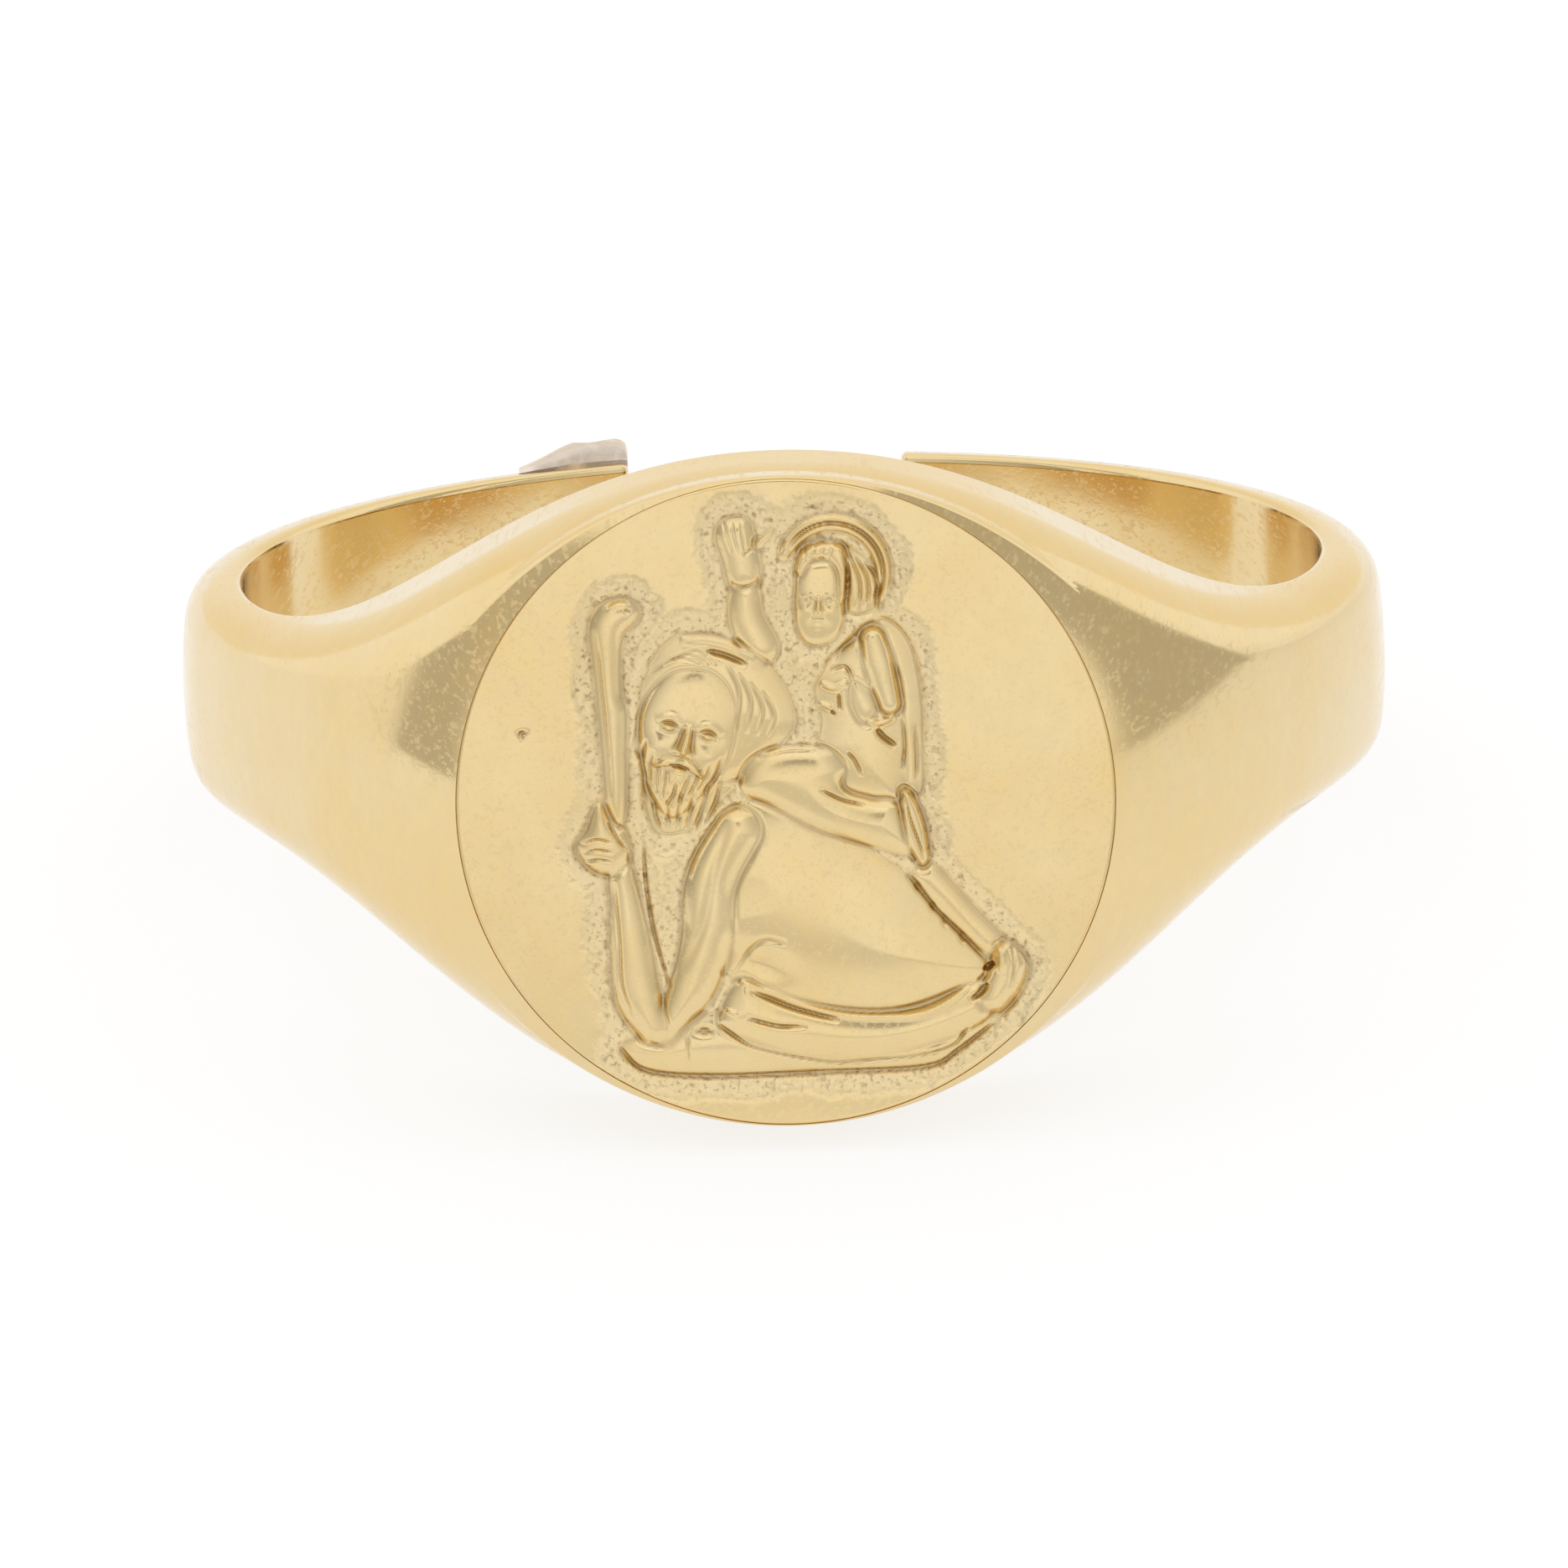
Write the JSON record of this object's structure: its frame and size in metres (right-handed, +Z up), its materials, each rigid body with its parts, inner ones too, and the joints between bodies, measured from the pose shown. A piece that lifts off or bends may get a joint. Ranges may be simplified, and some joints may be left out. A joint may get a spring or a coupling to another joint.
{
  "type": "signet ring",
  "caption": "Round-topped gold signet ring with a sunk relief of a man carrying a child, tapering shoulders and a thin shank open at the back.",
  "frame": {"origin": "on the surface that the ring lies on, under the middle of its box", "axes": "+Z up; the round table faces -Y and slightly up, because the ring lies on the lower rim of its head and on the lower edges of its shank ends; +X to the right seen from the table"},
  "size_m": [0.0216, 0.0237, 0.0118],
  "materials": {
    "gold": "polished, worn",
    "gold_solder": "polished",
    "grey_solder": "dull"
  },
  "bodies": {
    "root": {"head_body": "gold", "table_plate": "gold", "table_solder": "gold_solder", "bearer_figure": "gold", "bearer_staff": "gold", "child_figure": "gold", "child_nimbus": "gold", "right_shank_arm": "gold", "left_shank_arm": "gold", "right_seam_solder": "gold_solder", "left_seam_solder": "gold_solder", "old_solder": "grey_solder"}
  },
  "joints": []
}
